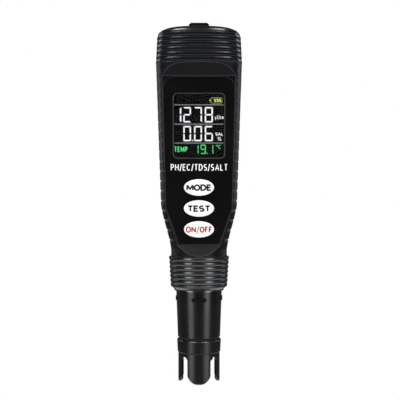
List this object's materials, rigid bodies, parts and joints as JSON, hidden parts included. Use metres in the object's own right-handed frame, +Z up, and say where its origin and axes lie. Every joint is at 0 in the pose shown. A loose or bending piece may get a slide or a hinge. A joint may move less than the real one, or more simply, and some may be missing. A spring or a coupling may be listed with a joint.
{
  "type": "water quality test pen",
  "caption": "Upright waterproof test pen with a display and oval keys on a slanted front, a ribbed battery cap, a ribbed ring nut and a probe whose sensors sit in a tongued guard.",
  "frame": {"origin": "on the pen's long axis, at the middle of the housing, where a hand or a bench clip holds it", "axes": "+Z up the pen towards the battery cap, -Y out of the display, +X to the right of the display seen from the front"},
  "size_m": [0.0399, 0.0332, 0.167],
  "materials": {
    "barrel_plastic": "satin moulded ABS",
    "cap_plastic": "satin moulded ABS",
    "plate_plastic": "fine matt sheet",
    "probe_plastic": "smooth moulded plastic",
    "boss_plastic": "matt moulded plastic",
    "key_plastic": "white satin",
    "seal_rubber": "black rubber",
    "pale_silicone": "pale silicone",
    "lens_glass": "dark clear window",
    "lcd_glass": "display glass",
    "light_plastic": "diffuser",
    "frame_plastic": "white moulded plastic",
    "board_laminate": "green solder mask",
    "switch_metal": "tinned sheet",
    "chip_plastic": "moulded epoxy",
    "tray_plastic": "moulded plastic",
    "contact_metal": "nickel plated",
    "cell_steel": "plain wrapped can",
    "ribbon_film": "flexible film",
    "sensor_glass": "clear glass",
    "silver": "silver wire",
    "sensor_steel": "stainless steel",
    "junction_ceramic": "porous white",
    "sleeve_plastic": "clear tube"
  },
  "bodies": {
    "housing": {"housing": "barrel_plastic", "front_plate": "plate_plastic", "display_lens": "lens_glass", "lcd_glass": "lcd_glass", "lcd_backlight": "light_plastic", "lcd_frame": "frame_plastic", "lcd_pins": "contact_metal", "main_board": "board_laminate", "switch_bodies": "switch_metal", "switch_plungers": "frame_plastic", "board_chips": "chip_plastic", "crystal_can": "switch_metal", "battery_tray": "tray_plastic", "tray_contacts": "contact_metal", "cell_spring": "contact_metal", "left_cell": "cell_steel", "right_cell": "cell_steel", "probe_socket": "tray_plastic", "sensor_ribbon": "ribbon_film"},
    "battery_cap": {"battery_cap": "cap_plastic", "cap_ring": "seal_rubber", "cap_strip": "contact_metal"},
    "mode_key": {"mode_key": "key_plastic"},
    "hold_key": {"hold_key": "key_plastic"},
    "power_key": {"power_key": "key_plastic"},
    "probe": {"probe_body": "probe_plastic", "detent_pads": "seal_rubber", "probe_seal": "seal_rubber", "plug_insert": "tray_plastic", "plug_pins": "contact_metal", "guard_gasket": "pale_silicone", "sensor_boss": "boss_plastic", "glass_electrode": "sensor_glass", "silver_wire": "silver", "conductivity_electrodes": "sensor_steel", "temperature_sensor": "sensor_steel", "reference_junction": "junction_ceramic", "reference_sleeve": "sleeve_plastic"},
    "collar": {"collar": "cap_plastic"},
    "guard": {"sensor_guard": "probe_plastic"}
  },
  "joints": [
    {"name": "cap_pull", "type": "slide", "parent": "housing", "child": "battery_cap", "axis": [0, 0, 1], "range_m": [0, 0.012]},
    {"name": "mode_press", "type": "slide", "parent": "housing", "child": "mode_key", "axis": [0, 0.9985, 0.0546], "range_m": [0, 0.0006], "stiffness_N_per_m": 800},
    {"name": "hold_press", "type": "slide", "parent": "housing", "child": "hold_key", "axis": [0, 0.9985, 0.0546], "range_m": [0, 0.0006], "stiffness_N_per_m": 800},
    {"name": "power_press", "type": "slide", "parent": "housing", "child": "power_key", "axis": [0, 0.9985, 0.0546], "range_m": [0, 0.0006], "stiffness_N_per_m": 800},
    {"name": "probe_drop", "type": "slide", "parent": "housing", "child": "probe", "axis": [0, 0, -1], "range_m": [0, 0.0081]},
    {"name": "collar_turn", "type": "hinge", "parent": "probe", "child": "collar", "pos_m": [0, 0, -0.0527], "axis": [0, 0, -1], "range_deg": [0, 1440]},
    {"name": "guard_pull", "type": "slide", "parent": "probe", "child": "guard", "axis": [0, 0, -1], "range_m": [0, 0.009]}
  ],
  "couplings": [
    {"joint": "probe_drop", "follows": "collar_turn", "m_per_rad": 0.00031831}
  ]
}
